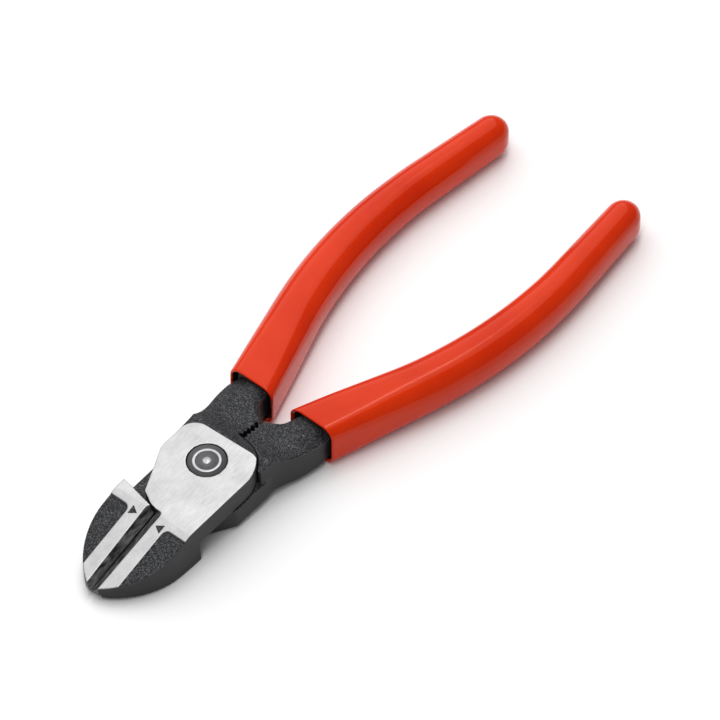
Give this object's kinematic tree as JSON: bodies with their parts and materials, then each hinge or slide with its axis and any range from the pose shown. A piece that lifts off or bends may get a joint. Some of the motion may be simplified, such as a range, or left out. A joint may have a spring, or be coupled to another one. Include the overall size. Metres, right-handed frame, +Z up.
{
  "type": "diagonal cutting pliers",
  "caption": "Diagonal cutting pliers: two lapped forged halves on one flush rivet, blunt-nosed oval jaws meeting in a groove, bowed handles in glossy plastic sleeves.",
  "frame": {"origin": "middle of the bounding box on the surface the tool lies on", "axes": "+X along the tool's middle line toward the jaw tips, +Y toward the upper half's jaw, +Z up"},
  "size_m": [0.1822, 0.0622, 0.0149],
  "materials": {
    "forged_steel": "black oxide forging, ground bright on the boss and along the jaws",
    "rivet_steel": "darkened steel, ground flush",
    "sleeve_plastic": "glossy dipped vinyl"
  },
  "bodies": {
    "lower": {"lower_half": "forged_steel", "lower_half_sleeve": "sleeve_plastic", "pivot_rivet": "rivet_steel"},
    "upper": {"upper_half": "forged_steel", "upper_half_sleeve": "sleeve_plastic"}
  },
  "joints": [
    {"name": "jaw_hinge", "type": "hinge", "parent": "lower", "child": "upper", "pos_m": [0.0469, 0, 0.00788], "axis": [0.0767, 0, 0.9971], "range_deg": [0, 30]}
  ]
}
